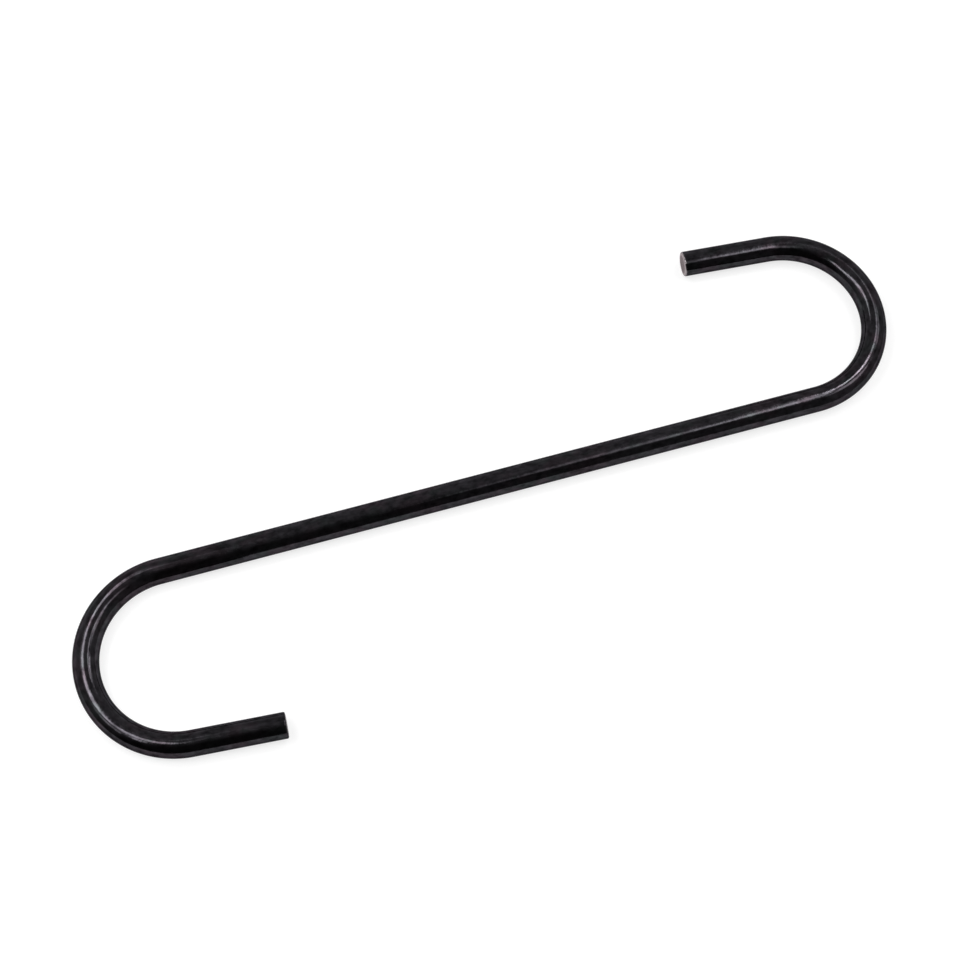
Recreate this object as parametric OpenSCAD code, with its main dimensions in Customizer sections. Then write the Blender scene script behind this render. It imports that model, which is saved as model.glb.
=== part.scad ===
// S hook bent from one length of round rod.
// It lies on its side: the rod's middle runs in one flat plane, with the straight shank along X.
// One end bends up towards +Y and the other down towards -Y, so that half a turn about Z swaps them.

/* [Rod] */
// Diameter of the rod, coating included
rod_d = 6; // [3:0.5:12]
// Radius of the rounded rim around each cut end
rim_r = 0.4; // [0.1:0.1:1.2]

/* [Hook] */
// Overall length, over the outsides of both bends
overall_l = 205; // [150:1:400]
// Inside radius of each bend, which is the radius of the thickest rail that it seats on
bend_inner_r = 17.5; // [8:0.5:40]
// Angle that each bend turns through, where 180 brings the tip parallel to the shank
bend_deg = 175.51; // [90:0.01:180]
// Straight length from the end of each bend to the cut end
tip_l = 21; // [4:0.5:60]

/* [Hidden] */
$fn = 96;

rod_r = rod_d / 2;
bend_r = bend_inner_r + rod_r;
shank_l = overall_l - 2 * (bend_r + rod_r);
// How far past its end each bend is swept before it is trimmed square to the tip
trim_deg = 5;

// The rod's round section, one bend radius out from the axis that it is bent about
module bend_section() {
    translate([bend_r, 0])
        circle(r = rod_r);
}

// Half of the tip's outline, from the rod's middle line out to the rounded rim
module tip_outline() {
    square([rod_r, tip_l - rim_r]);
    square([rod_r - rim_r, tip_l]);
    translate([rod_r - rim_r, tip_l - rim_r])
        circle(r = rim_r);
}

// Places its children where the bend ends, with +Y along the tip
module at_bend_end() {
    rotate([0, 0, bend_deg - 90])
        translate([bend_r, 0, 0])
            children();
}

// The straight middle of the hook
module shank() {
    rotate([0, 90, 0])
        cylinder(h = shank_l, r = rod_r, center = true);
}

// The bend at the +X end of the shank, which starts at the bottom of its circle
module bend() {
    difference() {
        rotate([0, 0, -90])
            rotate_extrude(angle = bend_deg + trim_deg)
                bend_section();
        at_bend_end()
            translate([-rod_d, 0, -rod_d])
                cube([2 * rod_d, bend_r, 2 * rod_d]);
    }
}

// The straight tip, with its rounded cut end
module tip() {
    at_bend_end()
        rotate([-90, 0, 0])
            rotate_extrude()
                tip_outline();
}

// One hooked end, about the axis of its bend
module hooked_end() {
    translate([shank_l / 2, bend_r, 0]) {
        bend();
        tip();
    }
}

// The whole hook, raised to lie on the ground plane
module hook_rod() {
    color([0.03, 0.03, 0.035])
        translate([0, 0, rod_r]) {
            shank();
            hooked_end();
            rotate([0, 0, 180])
                hooked_end();
        }
}

hook_rod();
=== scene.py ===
import math

import bmesh
import bpy
from mathutils import Matrix, Vector


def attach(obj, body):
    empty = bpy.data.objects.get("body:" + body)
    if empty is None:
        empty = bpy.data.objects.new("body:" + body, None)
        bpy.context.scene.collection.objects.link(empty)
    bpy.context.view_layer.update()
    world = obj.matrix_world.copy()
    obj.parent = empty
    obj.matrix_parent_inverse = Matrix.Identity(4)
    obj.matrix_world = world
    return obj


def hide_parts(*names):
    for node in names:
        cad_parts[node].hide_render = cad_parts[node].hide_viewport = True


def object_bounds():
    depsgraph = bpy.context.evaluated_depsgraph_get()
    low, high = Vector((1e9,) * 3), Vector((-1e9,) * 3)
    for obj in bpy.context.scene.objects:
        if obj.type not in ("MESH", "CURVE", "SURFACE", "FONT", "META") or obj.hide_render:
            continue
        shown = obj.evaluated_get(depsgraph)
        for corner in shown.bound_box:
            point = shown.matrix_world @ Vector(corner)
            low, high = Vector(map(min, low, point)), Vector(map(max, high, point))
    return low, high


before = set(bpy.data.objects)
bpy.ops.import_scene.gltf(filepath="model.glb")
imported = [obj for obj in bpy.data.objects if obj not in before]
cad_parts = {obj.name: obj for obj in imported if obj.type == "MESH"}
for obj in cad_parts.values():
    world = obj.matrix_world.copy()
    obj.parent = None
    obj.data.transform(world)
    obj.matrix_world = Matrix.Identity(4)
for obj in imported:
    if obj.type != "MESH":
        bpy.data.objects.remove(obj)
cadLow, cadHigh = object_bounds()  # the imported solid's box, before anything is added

mm = 0.001
white = (1.0, 1.0, 1.0, 1.0)
print("frame loaded")


def placeObject(name, data):
    made = bpy.data.objects.new(name, data)
    bpy.context.scene.collection.objects.link(made)
    return made


def placeMesh(name, meshName, bm):
    mesh = bpy.data.meshes.new(meshName)
    bm.to_mesh(mesh)
    bm.free()
    return placeObject(name, mesh)


# camera, placed and turned for the three-quarter view from above
cameraSizes = {
    "lens": 73.0,  # lens and sensor are in millimetres, the rest is in metres
    "sensor": 36.0,
    "eye": (-55.241 * mm, -162.707 * mm, 427.701 * mm),
    "aim": (-1.39 * mm, -1.27 * mm, 3.0 * mm),
    "rollDegrees": 2.54,
}


def makeCamera(sizes):
    data = bpy.data.cameras.new("viewCamera")
    data.lens = sizes["lens"]
    data.sensor_width = sizes["sensor"]
    camera = placeObject("viewCamera", data)
    camera.location = sizes["eye"]
    look = (Vector(sizes["aim"]) - Vector(sizes["eye"])).to_track_quat("-Z", "Y")
    roll = Matrix.Rotation(math.radians(sizes["rollDegrees"]), 4, "Z")
    camera.rotation_euler = (look.to_matrix().to_4x4() @ roll).to_euler()
    bpy.context.scene.camera = camera


makeCamera(cameraSizes)
print("camera placed")


# one bent rod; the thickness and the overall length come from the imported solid
rodSizes = {
    "rod": cadHigh.z - cadLow.z,
    "overall": cadHigh.x - cadLow.x,
    "bendInside": 17.5 * mm,  # inside radius of each bend
    "bendDegrees": 175.51,
    "tip": 21.0 * mm,  # straight stretch from each bend to its cut end
    "rim": 0.4 * mm,  # rounding of each cut end
    "sides": 96,
    "bendSteps": 120,
    "shankSteps": 36,
    "tipSteps": 5,
    "rimSteps": 6,
    "weld": 0.001 * mm,  # points closer than this become one
}
halfTurn = Matrix.Rotation(math.pi, 3, "Z")  # the lower half is the upper one, turned half round


# the measures that the rod's shape, its rodSpace and its finish share
def measureRod(sizes):
    radius = sizes["rod"] / 2
    bendRadius = sizes["bendInside"] + radius
    angle = math.radians(sizes["bendDegrees"])
    shankHalf = sizes["overall"] / 2 - bendRadius - radius
    bendEnd = shankHalf + bendRadius * angle
    centre = Vector((shankHalf, bendRadius, radius))
    return {
        "radius": radius,
        "bendRadius": bendRadius,  # of the rod's middle line
        "bendAngle": angle,
        # distances along the rod from its middle
        "shankHalf": shankHalf,
        "bendEnd": bendEnd,
        "half": bendEnd + sizes["tip"],
        # the upper bend's centre, the point where it ends, and the way from there to the cut end
        "centre": centre,
        "endPoint": centre + Vector((math.sin(angle), -math.cos(angle), 0)) * bendRadius,
        "outward": Vector((math.cos(angle), math.sin(angle), 0)),
    }


def ringOf(geom):
    verts = [g for g in geom if isinstance(g, bmesh.types.BMVert)]
    edges = [g for g in geom if isinstance(g, bmesh.types.BMEdge)]
    return verts, edges


def runStraight(bm, edges, move, steps):
    verts = []
    for step in range(steps):
        made = bmesh.ops.extrude_edge_only(bm, edges=edges)
        verts, edges = ringOf(made["geom"])
        bmesh.ops.translate(bm, verts=verts, vec=move / steps)
    return verts, edges


def runBend(bm, verts, edges, centre, angle, steps):
    made = bmesh.ops.spin(bm, geom=verts + edges, cent=centre, axis=(0, 0, 1),
                          angle=angle, steps=steps, use_duplicate=False)
    return ringOf(made["geom_last"])


# sweeps one ring from the upper cut end to the lower one, and gives back the rings at both
def sweepRod(bm, sizes, measures):
    shankHalf, bendRadius, radius = measures["shankHalf"], measures["bendRadius"], measures["radius"]
    upperCentre, bendAngle, outward = measures["centre"], measures["bendAngle"], measures["outward"]
    lowerCentre = Vector((-shankHalf, -bendRadius, radius))
    cutEnd = measures["endPoint"] + outward * sizes["tip"]
    stand = Matrix.Translation(cutEnd) @ (-outward).to_track_quat("Z", "Y").to_matrix().to_4x4()
    bmesh.ops.create_circle(bm, segments=sizes["sides"], radius=radius, matrix=stand)
    firstRing = list(bm.edges)
    verts, edges = runStraight(bm, firstRing, -outward * sizes["tip"], sizes["tipSteps"])
    verts, edges = runBend(bm, verts, edges, upperCentre, -bendAngle, sizes["bendSteps"])
    verts, edges = runStraight(bm, edges, Vector((-2 * shankHalf, 0, 0)), sizes["shankSteps"])
    verts, edges = runBend(bm, verts, edges, lowerCentre, bendAngle, sizes["bendSteps"])
    verts, edges = runStraight(bm, edges, halfTurn @ outward * sizes["tip"], sizes["tipSteps"])
    return firstRing, edges


# fills both cut ends, rounds their rims and gives the cut faces the second material
def closeEnds(bm, rings, sizes):
    for ring in rings:
        bmesh.ops.contextual_create(bm, geom=ring)
    bmesh.ops.remove_doubles(bm, verts=bm.verts, dist=sizes["weld"])
    bmesh.ops.recalc_face_normals(bm, faces=bm.faces)
    rims = [e for e in bm.edges if any(len(f.verts) == sizes["sides"] for f in e.link_faces)]
    bmesh.ops.bevel(bm, geom=rims, offset=sizes["rim"], offset_type="OFFSET", segments=sizes["rimSteps"],
                    profile=0.5, affect="EDGES", material=-1, clamp_overlap=True)
    for face in bm.faces:
        isCut = len(face.verts) > 4  # all the other faces have four corners
        face.smooth = not isCut
        face.material_index = 1 if isCut else 0


# how far along the rod and to its side a point of the upper half would be on the straightened rod
def straighten(point, measures):
    shankHalf, bendRadius, outward = measures["shankHalf"], measures["bendRadius"], measures["outward"]
    if abs(point.y) < bendRadius / 2 and point.x < shankHalf:
        return point.x, point.y
    around = point - measures["centre"]
    turned = math.atan2(around.x, -around.y)
    if 0 <= turned <= measures["bendAngle"]:
        return shankHalf + bendRadius * turned, bendRadius - math.hypot(around.x, around.y)
    past = point - measures["endPoint"]
    return measures["bendEnd"] + past.dot(outward), past.dot(Vector((-outward.y, outward.x, 0)))


# rodSpace holds where each point would be if the rod were straightened again, in metres
def addRodSpace(bm, measures):
    space = bm.verts.layers.float_vector.new("rodSpace")
    for vert in bm.verts:
        isLower = vert.co.x < 0
        along, side = straighten(halfTurn @ vert.co if isLower else vert.co, measures)
        if isLower:
            along, side = -along, -side
        vert[space] = Vector((along, side, vert.co.z - measures["radius"]))


def makeRod(sizes, measures):
    bm = bmesh.new()
    rings = sweepRod(bm, sizes, measures)
    closeEnds(bm, rings, sizes)
    addRodSpace(bm, measures)
    return placeMesh("coated_rod", "coatedRod", bm)


rodMeasures = measureRod(rodSizes)
rod = makeRod(rodSizes, rodMeasures)
print("rod bent:", len(rod.data.polygons), "faces, half length", round(rodMeasures["half"] / mm, 2), "mm")


# node helpers: a value fills a socket, and another node's socket is linked to it
def addNode(tree, kind, inputs, **settings):
    node = tree.nodes.new(kind)
    for name, value in settings.items():
        setattr(node, name, value)
    for name, value in inputs.items():
        if isinstance(value, bpy.types.NodeSocket):
            tree.links.new(value, node.inputs[name])
        else:
            node.inputs[name].default_value = value
    return node


def addMath(tree, operation, first, second=0.0, third=0.0):
    return addNode(tree, "ShaderNodeMath", {0: first, 1: second, 2: third}, operation=operation).outputs[0]


def addRange(tree, value, fromMin, fromMax, toMin=0.0, toMax=1.0, smooth=True):
    kind = "SMOOTHSTEP" if smooth else "LINEAR"
    return addNode(tree, "ShaderNodeMapRange", {"Value": value, "From Min": fromMin, "From Max": fromMax,
                                                "To Min": toMin, "To Max": toMax},
                   interpolation_type=kind).outputs["Result"]


def addMix(tree, share, first, second):
    return addNode(tree, "ShaderNodeMix", {"Factor": share, "A": first, "B": second},
                   data_type="RGBA").outputs["Result"]


def addWave(tree, turn):
    # a sine that runs from 0 to 1
    return addMath(tree, "MULTIPLY_ADD", addMath(tree, "SINE", turn), 0.5, 0.5)


def splitAxes(tree, vector):
    return addNode(tree, "ShaderNodeSeparateXYZ", {"Vector": vector}).outputs


def joinAxes(tree, x, y, z):
    return addNode(tree, "ShaderNodeCombineXYZ", {"X": x, "Y": y, "Z": z}).outputs["Vector"]


def addNoise(tree, vector, size, detail=2.0, distortion=0.0, roughness=0.5):
    scale = addMath(tree, "DIVIDE", 1.0, size) if isinstance(size, bpy.types.NodeSocket) else 1.0 / size
    noise = addNode(tree, "ShaderNodeTexNoise", {"Vector": vector, "Scale": scale, "Detail": detail,
                                                 "Roughness": roughness, "Distortion": distortion})
    return noise.outputs["Fac"]


def addBump(tree, shader, height):
    # heights are in metres, so the bump's own distance is 1
    bump = addNode(tree, "ShaderNodeBump", {"Height": height, "Distance": 1.0, "Strength": 1.0})
    tree.links.new(bump.outputs["Normal"], shader.inputs["Normal"])


def startGroup(name, inputs, outputs, colours=()):
    tree = bpy.data.node_groups.new(name, "ShaderNodeTree")
    for socketName, socketType, value in inputs:
        socket = tree.interface.new_socket(socketName, in_out="INPUT", socket_type=socketType)
        if value is not None:
            socket.default_value = value
    for socketName in outputs:
        tree.interface.new_socket(socketName, in_out="OUTPUT", socket_type="NodeSocketFloat")
    for socketName in colours:
        tree.interface.new_socket(socketName, in_out="OUTPUT", socket_type="NodeSocketColor")
    return tree, tree.nodes.new("NodeGroupInput").outputs, tree.nodes.new("NodeGroupOutput").inputs


def placeGroup(tree, group, inputs):
    return addNode(tree, "ShaderNodeGroup", inputs, node_tree=group).outputs


def startMaterial(name, constants):
    material = bpy.data.materials.new(name)
    material.use_nodes = True
    shader = material.node_tree.nodes["Principled BSDF"]
    for socketName, value in constants.items():
        shader.inputs[socketName].default_value = value
    return material, material.node_tree, shader


# slow waves and a fine grain of a coat that flowed out and dried; Height is in the same unit as Peel Depth
def makePeelGroup():
    tree, given, out = startGroup("orangePeel", (
        ("Vector", "NodeSocketVector", None), ("Peel Size", "NodeSocketFloat", 0.8 * mm),
        ("Grain Size", "NodeSocketFloat", 0.25 * mm), ("Peel Depth", "NodeSocketFloat", 0.01 * mm),
        ("Grain Depth", "NodeSocketFloat", 0.002 * mm)), ("Height", "Peel", "Grain"))
    peel = addNoise(tree, given["Vector"], given["Peel Size"], detail=1.0)
    grain = addNoise(tree, given["Vector"], given["Grain Size"], detail=2.0, roughness=0.6)
    deep = addMath(tree, "MULTIPLY", peel, given["Peel Depth"])
    height = addMath(tree, "MULTIPLY_ADD", grain, given["Grain Depth"], deep)
    for name, value in (("Height", height), ("Peel", peel), ("Grain", grain)):
        tree.links.new(value, out[name])
    return tree


# uneven black: soft patches of three near tones under a fine mottle
def makeToneGroup():
    stretch = (0.6, 1.0, 1.0)  # makes the patches longer along the rod
    rosyEdge, coolEdge = (0.45, 0.62), (0.5, 0.66)  # noise levels between which a patch's edge is soft
    coolSize = 0.7  # the cool patches against the rosy ones
    swingPerContrast, leastSwing = 4.0, 0.2
    nearBlack = (0.02, 0.02, 0.02, 1.0)
    tree, given, out = startGroup("unevenTone", (
        ("Rod Space", "NodeSocketVector", None), ("Patch Size", "NodeSocketFloat", 4.0 * mm),
        ("Mottle Size", "NodeSocketFloat", 1.0 * mm), ("Contrast", "NodeSocketFloat", 0.5),
        ("Main", "NodeSocketColor", nearBlack), ("Rosy", "NodeSocketColor", nearBlack),
        ("Cool", "NodeSocketColor", nearBlack)), (), ("Tone",))
    stretched = addNode(tree, "ShaderNodeVectorMath", {0: given["Rod Space"], 1: stretch},
                        operation="MULTIPLY").outputs["Vector"]
    rosy = addNoise(tree, stretched, given["Patch Size"], detail=3.0)
    cool = addNoise(tree, stretched, addMath(tree, "MULTIPLY", given["Patch Size"], coolSize), detail=3.0)
    mottle = addNoise(tree, stretched, given["Mottle Size"], detail=3.0, roughness=0.62)
    tone = addMix(tree, addRange(tree, rosy, *rosyEdge), given["Main"], given["Rosy"])
    tone = addMix(tree, addRange(tree, cool, *coolEdge), tone, given["Cool"])
    strength = addMath(tree, "MULTIPLY", given["Contrast"], swingPerContrast)
    swing = addMath(tree, "MULTIPLY_ADD", addMath(tree, "SUBTRACT", mottle, 0.5), strength, 1.0)
    swing = addMath(tree, "MAXIMUM", swing, leastSwing)
    scaled = addNode(tree, "ShaderNodeVectorMath", {0: tone, "Scale": swing}, operation="SCALE")
    tree.links.new(scaled.outputs["Vector"], out["Tone"])
    return tree


# faint lines that follow the rod, left by the die that it was drawn through
def makeDrawnGroup():
    patchEdge = (0.38, 0.62)
    tree, given, out = startGroup("drawnLines", (
        ("Rod Space", "NodeSocketVector", None), ("Spacing", "NodeSocketFloat", 0.5 * mm),
        ("Length", "NodeSocketFloat", 25.0 * mm)), ("Lines", "Patches"))
    axes = splitAxes(tree, given["Rod Space"])
    along = addMath(tree, "DIVIDE", axes["X"], given["Length"])
    side = addMath(tree, "DIVIDE", axes["Y"], given["Spacing"])
    up = addMath(tree, "DIVIDE", axes["Z"], given["Spacing"])
    lines = addNoise(tree, joinAxes(tree, along, side, up), 1.0, detail=3.0, roughness=0.6)
    patches = addNoise(tree, given["Rod Space"], given["Length"], detail=1.0)
    tree.links.new(lines, out["Lines"])
    tree.links.new(addRange(tree, patches, *patchEdge), out["Patches"])
    return tree


# thin scratches in random directions, mostly missing
def makeScratchGroup():
    shownSize = 0.6  # of the patches that show scratches, against Size
    shownEdge = 0.08
    tree, given, out = startGroup("fineScratches", (
        ("Vector", "NodeSocketVector", None), ("Size", "NodeSocketFloat", 6.0 * mm),
        ("Thinness", "NodeSocketFloat", 0.006), ("Share", "NodeSocketFloat", 0.45)), ("Scratches",))
    path = addNoise(tree, given["Vector"], given["Size"], detail=0.0, distortion=0.6)
    off = addMath(tree, "ABSOLUTE", addMath(tree, "SUBTRACT", path, 0.5))
    thin = addRange(tree, addMath(tree, "DIVIDE", off, given["Thinness"]), 0.0, 1.0, 1.0, 0.0, smooth=False)
    shown = addNoise(tree, given["Vector"], addMath(tree, "MULTIPLY", given["Size"], shownSize), detail=1.0)
    edge = addMath(tree, "SUBTRACT", 1.0, given["Share"])
    kept = addRange(tree, shown, edge, addMath(tree, "ADD", edge, shownEdge))
    tree.links.new(addMath(tree, "MULTIPLY", thin, kept), out["Scratches"])
    return tree


# a ragged band around each cut end, where the coat is worn thin; at the upper end its pale colour is also a
# painted highlight
def makeRimGroup():
    raggedFrom, raggedTo = 0.3, 0.7  # noise levels that give the least and the most reach
    leastReach, mostReach = 0.15, 1.6  # shares of Reach
    fullAt = 0.7  # the coat is fully rubbed from this share of the way out
    tree, given, out = startGroup("rubbedRimAndHighlight", (
        ("Rod Space", "NodeSocketVector", None), ("Half Length", "NodeSocketFloat", 160.0 * mm),
        ("Reach", "NodeSocketFloat", 0.4 * mm), ("Ragged Size", "NodeSocketFloat", 0.5 * mm),
        ("Lower Share", "NodeSocketFloat", 1.0)), ("Rim",))
    axes = splitAxes(tree, given["Rod Space"])
    fromEnd = addMath(tree, "SUBTRACT", given["Half Length"], addMath(tree, "ABSOLUTE", axes["X"]))
    ragged = addNoise(tree, given["Rod Space"], given["Ragged Size"], detail=3.0, roughness=0.65)
    spread = addRange(tree, ragged, raggedFrom, raggedTo, leastReach, mostReach, smooth=False)
    reach = addMath(tree, "MULTIPLY", given["Reach"], spread)
    near = addRange(tree, addMath(tree, "DIVIDE", fromEnd, reach), 0.0, 1.0, 1.0, 0.0, smooth=False)
    upper = addMath(tree, "GREATER_THAN", axes["X"], 0.0)
    share = addMath(tree, "MAXIMUM", upper, given["Lower Share"])
    tree.links.new(addMath(tree, "MULTIPLY", addRange(tree, near, 0.0, fullAt), share), out["Rim"])
    return tree


# faint waves across the rod, on the inner side of both bends
def makeRippleGroup():
    fadeRadii = 2.0  # the waves fade in and out over this many radii of the rod
    innerEdge = (-0.2, 0.9)  # from here to there, in radii, the waves come up towards the inner side
    wanderSize, wanderTurn = 4.0 * mm, 9.0
    tree, given, out = startGroup("bendRipples", (
        ("Rod Space", "NodeSocketVector", None), ("Bend Start", "NodeSocketFloat", 79.0 * mm),
        ("Bend End", "NodeSocketFloat", 140.0 * mm), ("Radius", "NodeSocketFloat", 3.0 * mm),
        ("Spacing", "NodeSocketFloat", 1.3 * mm)), ("Ripples",))
    axes = splitAxes(tree, given["Rod Space"])
    far = addMath(tree, "ABSOLUTE", axes["X"])
    fade = addMath(tree, "MULTIPLY", given["Radius"], fadeRadii)
    into = addRange(tree, far, given["Bend Start"], addMath(tree, "ADD", given["Bend Start"], fade))
    outOf = addRange(tree, far, given["Bend End"], addMath(tree, "SUBTRACT", given["Bend End"], fade))
    # inner is 1 on the inside of the bend and 0 on its outside
    inward = addMath(tree, "MULTIPLY", axes["Y"], addMath(tree, "SIGN", axes["X"]))
    inner = addRange(tree, addMath(tree, "DIVIDE", inward, given["Radius"]), *innerEdge)
    wander = addNoise(tree, given["Rod Space"], wanderSize, detail=1.0)
    turn = addMath(tree, "DIVIDE", addMath(tree, "MULTIPLY", far, math.tau), given["Spacing"])
    wave = addWave(tree, addMath(tree, "MULTIPLY_ADD", wander, wanderTurn, turn))
    masked = addMath(tree, "MULTIPLY", addMath(tree, "MULTIPLY", into, outOf), inner)
    tree.links.new(addMath(tree, "MULTIPLY", wave, masked), out["Ripples"])
    return tree


groups = {"peel": makePeelGroup(), "tone": makeToneGroup(), "drawn": makeDrawnGroup(),
          "scratch": makeScratchGroup(), "rim": makeRimGroup(), "ripple": makeRippleGroup()}
print("finish groups ready:", len(groups))

coatSizes = {
    "black": (0.0325, 0.0305, 0.0347, 1.0),
    "rosyBlack": (0.0357, 0.0296, 0.0347, 1.0),
    "coolBlack": (0.0298, 0.0310, 0.0330, 1.0),
    "patchSize": 4.5 * mm,
    "mottleSize": 1.1 * mm,
    "mottle": 0.65,
    "rubbedAndHighlight": (0.34, 0.305, 0.315, 1.0),  # where the coat is worn off the steel; on the upper rim this pale colour is also a painted highlight
    "lowerRubbedAndHighlight": 0.03,  # how much of that the lower end has, where the upper end has all of it; the difference is partly painted light
    "edgeTint": (0.44, 0.44, 0.44, 1.0),  # a black coat mirrors little at a glancing angle
    "roughness": (0.075, 0.135),
    # what the grain, the scratches and the rubbed rim add to the roughness
    "grainRoughness": 0.02,
    "scratchRoughness": 0.10,
    "rimRoughness": 0.16,
    "peelSize": 0.9 * mm,
    "grainSize": 0.28 * mm,
    "peelDepth": 0.012 * mm,
    "grainDepth": 0.003 * mm,
    "lineSpacing": 0.55 * mm,
    "lineLength": 22.0 * mm,
    "lineDepth": 0.0045 * mm,
    "rippleSpacing": 1.3 * mm,
    "rippleDepth": 0.0012 * mm,
    "scratchDepth": 0.0008 * mm,
    "rimReach": 0.42 * mm,
}


def makeCoating(sizes, measures):
    material, tree, shader = startMaterial("glossBlackCoating", {
        "Metallic": 1.0, "Specular Tint": sizes["edgeTint"]})
    place = addNode(tree, "ShaderNodeTexCoord", {}).outputs["Object"]
    space = addNode(tree, "ShaderNodeAttribute", {}, attribute_name="rodSpace").outputs["Vector"]
    peel = placeGroup(tree, groups["peel"], {
        "Vector": place, "Peel Size": sizes["peelSize"], "Grain Size": sizes["grainSize"],
        "Peel Depth": sizes["peelDepth"], "Grain Depth": sizes["grainDepth"]})
    drawn = placeGroup(tree, groups["drawn"], {
        "Rod Space": space, "Spacing": sizes["lineSpacing"], "Length": sizes["lineLength"]})
    scratch = placeGroup(tree, groups["scratch"], {"Vector": space})
    rim = placeGroup(tree, groups["rim"], {
        "Rod Space": space, "Half Length": measures["half"], "Reach": sizes["rimReach"],
        "Lower Share": sizes["lowerRubbedAndHighlight"]})
    ripple = placeGroup(tree, groups["ripple"], {
        "Rod Space": space, "Bend Start": measures["shankHalf"], "Bend End": measures["bendEnd"],
        "Radius": measures["radius"], "Spacing": sizes["rippleSpacing"]})

    # colour: a nearly even black, paler at the worn rim, which on the upper end is also a painted highlight
    tone = placeGroup(tree, groups["tone"], {
        "Rod Space": space, "Patch Size": sizes["patchSize"], "Mottle Size": sizes["mottleSize"],
        "Contrast": sizes["mottle"], "Main": sizes["black"], "Rosy": sizes["rosyBlack"],
        "Cool": sizes["coolBlack"]})
    tree.links.new(addMix(tree, rim["Rim"], tone["Tone"], sizes["rubbedAndHighlight"]), shader.inputs["Base Color"])

    # roughness: patches and grain, duller in scratches and on the rubbed rim
    gloss = addRange(tree, drawn["Patches"], 0.0, 1.0, *sizes["roughness"], smooth=False)
    gloss = addMath(tree, "MULTIPLY_ADD", peel["Grain"], sizes["grainRoughness"], gloss)
    gloss = addMath(tree, "MULTIPLY_ADD", scratch["Scratches"], sizes["scratchRoughness"], gloss)
    gloss = addMath(tree, "MULTIPLY_ADD", rim["Rim"], sizes["rimRoughness"], gloss)
    tree.links.new(gloss, shader.inputs["Roughness"])

    height = addMath(tree, "MULTIPLY_ADD", drawn["Lines"], sizes["lineDepth"], peel["Height"])
    height = addMath(tree, "MULTIPLY_ADD", ripple["Ripples"], sizes["rippleDepth"], height)
    height = addMath(tree, "MULTIPLY_ADD", scratch["Scratches"], -sizes["scratchDepth"], height)
    addBump(tree, shader, height)
    return material


cutSizes = {
    # the upper face's colours are paler than the lower face's: a thinner coat, and a painted reflection of
    # the light the upper face catches
    "thinCoatAndLight": (0.045, 0.031, 0.034, 1.0),
    "bareAndLight": (0.17, 0.135, 0.143, 1.0),
    "wornRingAndHighlight": (0.46, 0.405, 0.420, 1.0),  # beside the worn rim of the upper end; worn, and partly a painted highlight where that rim catches the light
    "fullCoat": (0.026, 0.024, 0.026, 1.0),  # the lower face: the plain coat, without the upper face's painted light
    "spottedCoat": (0.052, 0.040, 0.043, 1.0),
    "edgeTint": (0.75, 0.70, 0.71, 1.0),
    "ringEdge": (0.72, 0.92),  # the ring starts and is full at these shares of the rod's radius
    "ringRagged": 0.12,
    "roughness": (0.24, 0.42),
    "roughnessGrain": (0.3, 0.7),  # grain levels that give the lower and the higher roughness
    "spotSize": 0.8 * mm,
    "spotEdge": (0.48, 0.72),
    "grainSize": 0.12 * mm,
    "grainDepth": 0.002 * mm,
    "scratchSize": 2.0 * mm,
    "scratchShare": 0.6,
    "scratchGloss": 0.08,
    "sawSpacing": 0.32 * mm,
    "sawDepth": 0.006 * mm,
    "sawBare": 0.45,  # how bare the crests of the saw lines are
    "wanderSize": 1.5 * mm,
    "wanderTurn": 3.0,
}


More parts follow.
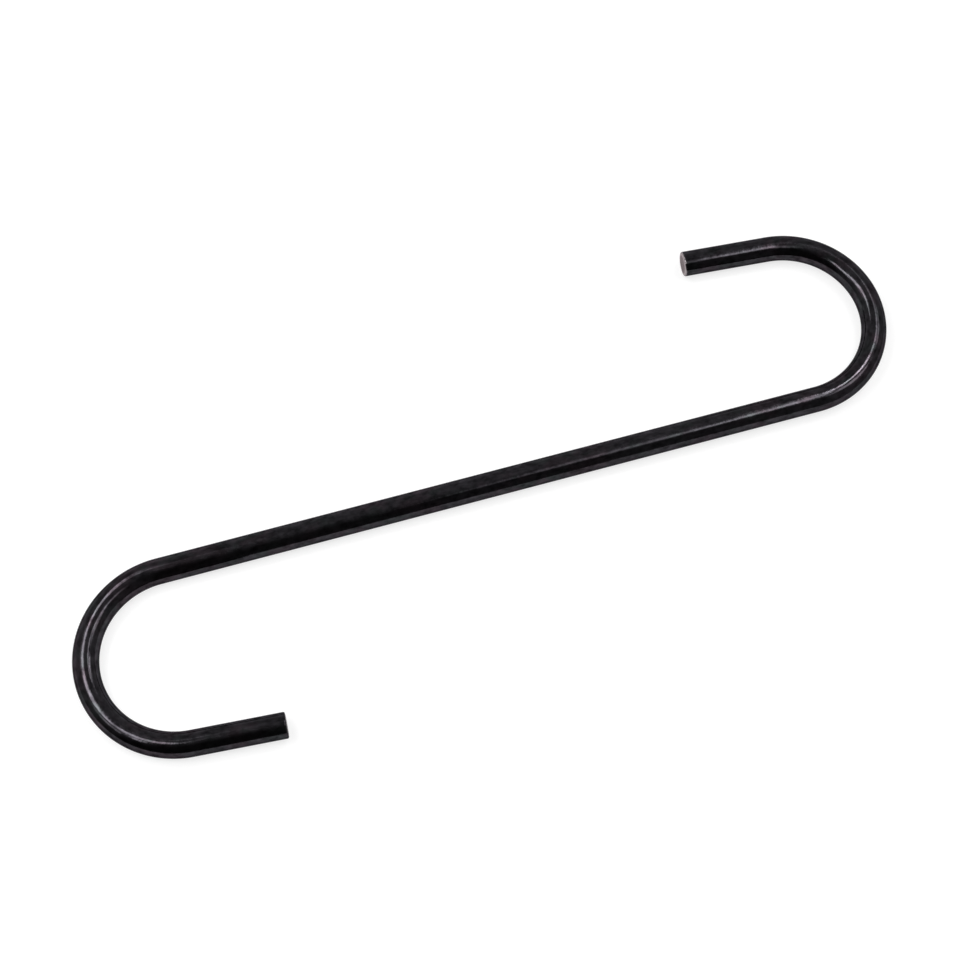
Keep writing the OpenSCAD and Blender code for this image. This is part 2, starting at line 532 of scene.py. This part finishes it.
def makeCutFace(sizes, measures):
    material, tree, shader = startMaterial("thinCoatAndLightOnCut", {
        "Metallic": 1.0, "Specular Tint": sizes["edgeTint"]})
    space = addNode(tree, "ShaderNodeAttribute", {}, attribute_name="rodSpace").outputs["Vector"]
    peel = placeGroup(tree, groups["peel"], {
        "Vector": space, "Peel Size": sizes["spotSize"], "Grain Size": sizes["grainSize"],
        "Peel Depth": sizes["grainDepth"], "Grain Depth": sizes["grainDepth"]})
    scratch = placeGroup(tree, groups["scratch"], {
        "Vector": space, "Size": sizes["scratchSize"], "Share": sizes["scratchShare"]})

    # saw lines run across the face and wander a little
    axes = splitAxes(tree, space)
    wander = addNoise(tree, space, sizes["wanderSize"], detail=1.0)
    turn = addMath(tree, "DIVIDE", axes["Z"], sizes["sawSpacing"] / math.tau)
    saw = addWave(tree, addMath(tree, "MULTIPLY_ADD", wander, sizes["wanderTurn"], turn))

    # the worn ring, partly a painted highlight along the face's rim, is measured from the middle of the
    # face, and ragged
    fromMiddle = addNode(tree, "ShaderNodeVectorMath", {0: joinAxes(tree, 0.0, axes["Y"], axes["Z"])},
                         operation="LENGTH")
    far = addMath(tree, "DIVIDE", fromMiddle.outputs["Value"], measures["radius"])
    far = addMath(tree, "MULTIPLY_ADD", peel["Peel"], sizes["ringRagged"], far)
    ring = addRange(tree, far, *sizes["ringEdge"])

    # colour: barer in spots and along the saw lines, a worn ring on the upper face, a full coat on the
    # lower; the upper face is paler partly as painted reflection and highlight
    spots = addRange(tree, peel["Peel"], *sizes["spotEdge"])
    bareShare = addMath(tree, "MAXIMUM", spots, addMath(tree, "MULTIPLY", saw, sizes["sawBare"]))
    upperColour = addMix(tree, bareShare, sizes["thinCoatAndLight"], sizes["bareAndLight"])
    upperColour = addMix(tree, ring, upperColour, sizes["wornRingAndHighlight"])
    lowerColour = addMix(tree, bareShare, sizes["fullCoat"], sizes["spottedCoat"])
    upper = addMath(tree, "GREATER_THAN", axes["X"], 0.0)
    tree.links.new(addMix(tree, upper, lowerColour, upperColour), shader.inputs["Base Color"])

    gloss = addRange(tree, peel["Grain"], *sizes["roughnessGrain"], *sizes["roughness"])
    gloss = addMath(tree, "MULTIPLY_ADD", scratch["Scratches"], -sizes["scratchGloss"], gloss)
    tree.links.new(gloss, shader.inputs["Roughness"])
    addBump(tree, shader, addMath(tree, "MULTIPLY_ADD", saw, sizes["sawDepth"], peel["Height"]))
    return material


rod.data.materials.append(makeCoating(coatSizes, rodMeasures))
rod.data.materials.append(makeCutFace(cutSizes, rodMeasures))
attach(rod, "root")
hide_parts("hook_rod")
print("coating on")


# floor, lamps and surroundings
studioSizes = {
    "floorRadius": 9.0,
    "floorSides": 64,
    "floorColour": (0.32, 0.32, 0.32, 1.0),
    "floorGlow": 0.76,  # only added where the floor is looked at or mirrored; 1 is white
    # levels of the surroundings: towards -Y from left to right, and towards +Y
    "frontLevels": (0.05, 0.33),
    "backLevel": 0.50,
    # directions between which they change, left to right and front to back
    "leftToRight": (-0.2, 0.8),
    "frontToBack": (-0.62, 0.4),
    # towards +Y the surroundings are paler near the floor
    "lowGlow": 0.44,
    "lowHeight": 0.42,
    "lowEdge": (0.15, 0.75),
}
# flat panels that face down; each fade is the soft share of the width or length at its two sides
lampSizes = {
    "leftBar": {"centre": (-331 * mm, 188 * mm, 660 * mm), "turnDegrees": 42.7,
                "size": (507 * mm, 250 * mm), "level": 7.7, "fades": (0.2, 0.25, 0.3, 0.25)},
    "leftBox": {"centre": (-196 * mm, -22 * mm, 300 * mm), "turnDegrees": 0.0,
                "size": (175 * mm, 88 * mm), "level": 7.0, "fades": (0.75, 0.12, 0.2, 0.3)},
    "leftColumn": {"centre": (-188 * mm, 300 * mm, 476 * mm), "turnDegrees": 90.0,
                   "size": (270 * mm, 120 * mm), "level": 6.0, "fades": (0.4, 0.35, 0.65, 0.25)},
    "leftSpot": {"centre": (-770 * mm, -305 * mm, 1400 * mm), "turnDegrees": 38.0,
                 "size": (500 * mm, 220 * mm), "level": 6.5, "fades": (0.3, 0.3, 0.3, 0.3)},
    "leftWide": {"centre": (-1350 * mm, -60 * mm, 1400 * mm), "turnDegrees": -58.0,
                 "size": (860 * mm, 780 * mm), "level": 2.3, "fades": (0.6, 0.2, 0.25, 0.4)},
    "leftGlow": {"centre": (-350 * mm, 190 * mm, 476 * mm), "turnDegrees": 0.0,
                 "size": (260 * mm, 300 * mm), "level": 1.1, "fades": (0.4, 0.4, 0.4, 0.4)},
    "rightStrip": {"centre": (303 * mm, 36 * mm, 800 * mm), "turnDegrees": 76.2,
                   "size": (783 * mm, 111 * mm), "level": 8.8, "fades": (0.36, 0.2, 0.12, 0.85)},
    "rightGlow": {"centre": (155 * mm, -150 * mm, 664 * mm), "turnDegrees": 78.0,
                  "size": (420 * mm, 220 * mm), "level": 1.65, "fades": (0.4, 0.5, 0.45, 0.5)},
    "rightCorner": {"centre": (262 * mm, 108 * mm, 400 * mm), "turnDegrees": -25.0,
                    "size": (120 * mm, 62 * mm), "level": 17.0, "fades": (0.15, 0.6, 0.35, 0.35)},
    "rightWide": {"centre": (640 * mm, 220 * mm, 664 * mm), "turnDegrees": 0.0,
                  "size": (300 * mm, 300 * mm), "level": 2.6, "fades": (0.4, 0.4, 0.4, 0.4)},
    "rightTop": {"centre": (490 * mm, 275 * mm, 664 * mm), "turnDegrees": 0.0,
                 "size": (400 * mm, 280 * mm), "level": 2.5, "fades": (0.3, 0.3, 0.3, 0.5)},
    "rightFar": {"centre": (1370 * mm, -321 * mm, 2000 * mm), "turnDegrees": 0.0,
                 "size": (1100 * mm, 860 * mm), "level": 3.6, "fades": (0.2, 0.2, 0.25, 0.3)},
}


def makeFloor(sizes):
    bm = bmesh.new()
    bmesh.ops.create_circle(bm, cap_ends=True, segments=sizes["floorSides"], radius=sizes["floorRadius"])
    floor = placeMesh("floor", "floor", bm)
    material, tree, shader = startMaterial("paleFloor", {
        "Base Color": sizes["floorColour"], "Roughness": 1.0, "Specular IOR Level": 0.0,
        "Emission Color": white})
    path = addNode(tree, "ShaderNodeLightPath", {}).outputs
    seen = addMath(tree, "MAXIMUM", path["Is Camera Ray"], path["Is Glossy Ray"])
    seen = addMath(tree, "MAXIMUM", seen, path["Is Transmission Ray"])
    tree.links.new(addMath(tree, "MULTIPLY", seen, sizes["floorGlow"]), shader.inputs["Emission Strength"])
    floor.data.materials.append(material)


def makeLamp(name, sizes):
    width, length = sizes["size"]
    data = bpy.data.lights.new(name, "AREA")
    data.shape = "RECTANGLE"
    data.size = width
    data.size_y = length
    data.energy = sizes["level"] * math.pi * width * length  # watts that give the panel this level
    lamp = placeObject(name, data)
    lamp.location = sizes["centre"]
    lamp.rotation_euler.z = math.radians(sizes["turnDegrees"])

    # the panel's glow fades towards its sides; Parametric runs from 0 to 1 over its width and its length
    data.use_nodes = True
    tree = data.node_tree
    parts = splitAxes(tree, addNode(tree, "ShaderNodeNewGeometry", {}).outputs["Parametric"])
    start, end, low, high = sizes["fades"]
    glow = addRange(tree, parts["X"], 0.0, start)
    for part, side, inside in (("X", 1.0, 1.0 - end), ("Y", 0.0, low), ("Y", 1.0, 1.0 - high)):
        glow = addMath(tree, "MULTIPLY", glow, addRange(tree, parts[part], side, inside))
    tree.links.new(glow, tree.nodes["Emission"].inputs["Strength"])


def makeWorld(sizes):
    world = bpy.data.worlds.new("studio")
    bpy.context.scene.world = world
    world.use_nodes = True
    tree = world.node_tree
    back = tree.nodes["Background"]
    back.inputs["Color"].default_value = white
    axes = splitAxes(tree, addNode(tree, "ShaderNodeTexCoord", {}).outputs["Generated"])
    front = addRange(tree, axes["X"], *sizes["leftToRight"], *sizes["frontLevels"])
    level = addRange(tree, axes["Y"], *sizes["frontToBack"], front, sizes["backLevel"])
    low = addRange(tree, axes["Z"], 0.0, sizes["lowHeight"], sizes["lowGlow"], 0.0, smooth=False)
    low = addMath(tree, "MULTIPLY", low, addRange(tree, axes["Y"], *sizes["lowEdge"]))
    tree.links.new(addMath(tree, "ADD", level, low), back.inputs["Strength"])


makeFloor(studioSizes)
for lampName, panelSizes in lampSizes.items():
    makeLamp(lampName, panelSizes)
makeWorld(studioSizes)
bpy.context.scene.view_settings.view_transform = "Standard"
print("studio set")
